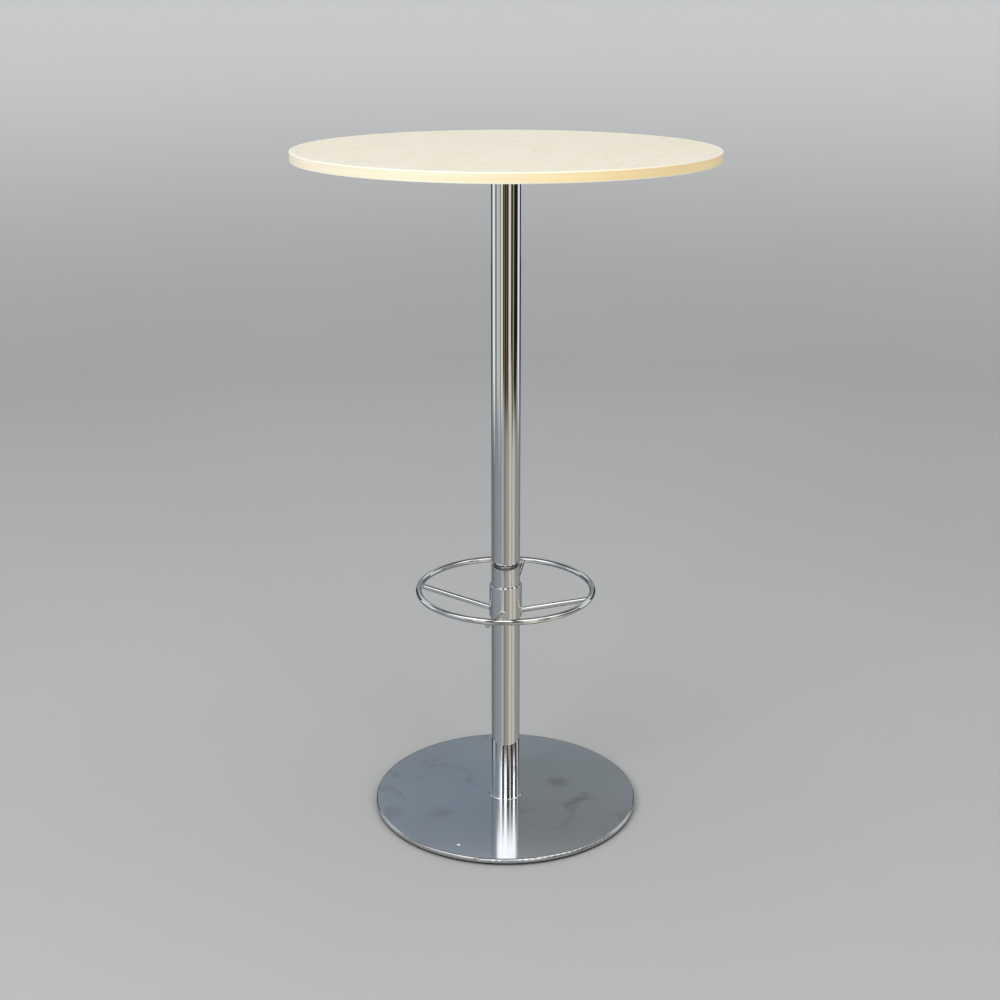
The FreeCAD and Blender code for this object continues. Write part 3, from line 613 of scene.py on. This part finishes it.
def cards_surface():
    """What polished metal mirrors, so that its shape shows: floor, cards, windows, a wall and a ceiling."""
    s = Surface("studio_cards", (0, 0, 0), 1.0)
    x, y, z = s.axes(s.place())
    turn = s.math("ARCTAN2", x, s.math("MULTIPLY", y, -1.0))
    from_camera = s.math("SUBTRACT", turn, CAMERA_TURN)
    share = s.math("FRACT", s.math("ADD", s.math("DIVIDE", from_camera, 2 * math.pi), 0.5))
    ahead = s.math("SUBTRACT", s.math("MULTIPLY", y, math.cos(CAMERA_TURN)),
                   s.math("MULTIPLY", x, math.sin(CAMERA_TURN)))

    strip = s.add("ShaderNodeCombineXYZ", {"X": share, "Y": z}).outputs["Vector"]
    ragged = s.noise(s.stretched(strip, (30.0, 0.0, 0.0)), 1.0, 1.0)
    foot = s.span(s.math("SUBTRACT", z, s.math("MULTIPLY", ragged, 0.80)), -0.30, -0.14)
    floor = card_ramp(s, share, FLOOR_TONES, "EASE")
    standing = s.blend(foot, floor, card_ramp(s, share, LOW_CARDS, "CONSTANT"))

    off_axis = s.math("ABSOLUTE", s.math("SUBTRACT", share, 0.5))
    ledge = s.math("MULTIPLY", s.span(z, *TO_LEDGE), s.span(off_axis, 0.42, 0.45))
    ledged = s.blend(ledge, standing, (0.365, 0.415, 0.445))
    window = s.math("MULTIPLY", s.span(share, 0.27, 0.31), s.span(share, 0.76, 0.80, 1.0, 0.0))
    glare = s.math("MULTIPLY", s.span(z, *TO_GLARE), window)
    windows = s.blend(glare, card_ramp(s, share, HIGH_CARDS, "CONSTANT"), GLARE)
    mirrored_again = s.span(s.add("ShaderNodeLightPath").outputs["Glossy Depth"], 1.2, 1.8)
    upper = s.blend(mirrored_again, card_ramp(s, share, WALL_TONES, "EASE"), windows)
    high = s.blend(s.span(z, *TO_UPPER_CARDS), ledged, upper)
    tall = card_ramp(s, share, TALL_CARDS, "CONSTANT")
    wall = s.blend(s.span(ahead, -0.4, 0.5), s.blend(0.65, tall, DUSK), (0.90, 0.91, 0.91))
    walled = s.blend(s.span(z, *TO_WALL), high, wall)
    ceiling = s.blend(s.span(ahead, -0.35, 0.20), tall, DUSK)
    s.to_shader("Emission Color", s.blend(s.span(z, *TO_CEILING), walled, ceiling))
    s.shader.inputs["Emission Strength"].default_value = 1.0
    return s.material


def lamp(name, place, aim, size, power, colour=(1, 1, 1)):
    """A soft box that lights the table and is not mirrored in its metal."""
    light = bpy.data.lights.new(name, "AREA")
    light.shape = "RECTANGLE"
    light.size, light.size_y = size
    light.energy = power
    light.color = colour
    item = bpy.data.objects.new(name, light)
    bpy.context.scene.collection.objects.link(item)
    item.location = place
    item.rotation_euler = (Vector(aim) - Vector(place)).to_track_quat("-Z", "Y").to_euler()
    item.visible_glossy = False


def studio():
    """Pale floor that sweeps up into a wall, soft lamps and the cards."""
    profile = [(0.001, 0.0), (0.5, 0.0), (1.5, 0.0), (FLOOR_RADIUS, 0.0)]
    for step in range(1, SWEEP_STEPS + 1):
        turn = math.radians(90 / SWEEP_STEPS * step)
        across = FLOOR_RADIUS + SWEEP_RADIUS * math.sin(turn)
        profile.append((across, SWEEP_RADIUS * (1 - math.cos(turn))))
    profile.append((FLOOR_RADIUS + SWEEP_RADIUS, WALL_HEIGHT))
    studio_mesh("studio_floor", profile, floor_surface())

    cards_floor = [(1.05 * BASE_RADIUS, CARD_LIFT), (1.0, CARD_LIFT), (CARD_RADIUS, CARD_LIFT)]
    cards_ceiling = [(CARD_RADIUS, 1.5), (1.25, 2.1), (0.65, 2.4), (0.002, 2.5)]
    cards = studio_mesh("studio_cards", cards_floor + cards_ceiling, cards_surface())
    cards.visible_camera = False
    cards.visible_diffuse = False
    cards.visible_shadow = False

    world = bpy.data.worlds.new("soft_sky")
    world.use_nodes = True
    sky = world.node_tree.nodes["Background"]
    sky.inputs["Color"].default_value = (0.97, 0.985, 1.0, 1)
    sky.inputs["Strength"].default_value = 0.88
    bpy.context.scene.world = world

    lamp("window_box", (-1.5, -2.9, 2.3), (0, 0, 0.7), (2.2, 1.8), 60)
    lamp("fill_box", (2.3, -2.5, 1.5), (0, 0, 0.8), (1.4, 1.4), 25, (1.0, 0.95, 0.88))
    lamp("overhead_box", (0.2, 0.3, 3.6), (0, 0, 0.4), (2.4, 2.4), 13)


def camera():
    """The photograph's view."""
    aside = Vector((math.cos(CAMERA_TURN), math.sin(CAMERA_TURN), 0))
    ahead = Vector((-math.sin(CAMERA_TURN), math.cos(CAMERA_TURN), 0))
    upward = Vector((0, 0, 1))
    look = ahead * math.cos(CAMERA_PITCH) - upward * math.sin(CAMERA_PITCH)
    head = ahead * math.sin(CAMERA_PITCH) + upward * math.cos(CAMERA_PITCH)
    place = aside * CAMERA_ASIDE - ahead * CAMERA_BACK + upward * CAMERA_HEIGHT
    data = bpy.data.cameras.new("photo_camera")
    data.sensor_width = CAMERA_SENSOR
    data.lens = CAMERA_LENS
    data.shift_y = CAMERA_SHIFT
    item = bpy.data.objects.new("photo_camera", data)
    bpy.context.scene.collection.objects.link(item)
    turned = Matrix((aside, head, -look)).transposed().to_4x4()
    item.matrix_world = Matrix.Translation(place) @ turned
    bpy.context.scene.camera = item


dress_nodes()
welds()
studio()
camera()
bpy.context.scene.view_settings.view_transform = "Standard"
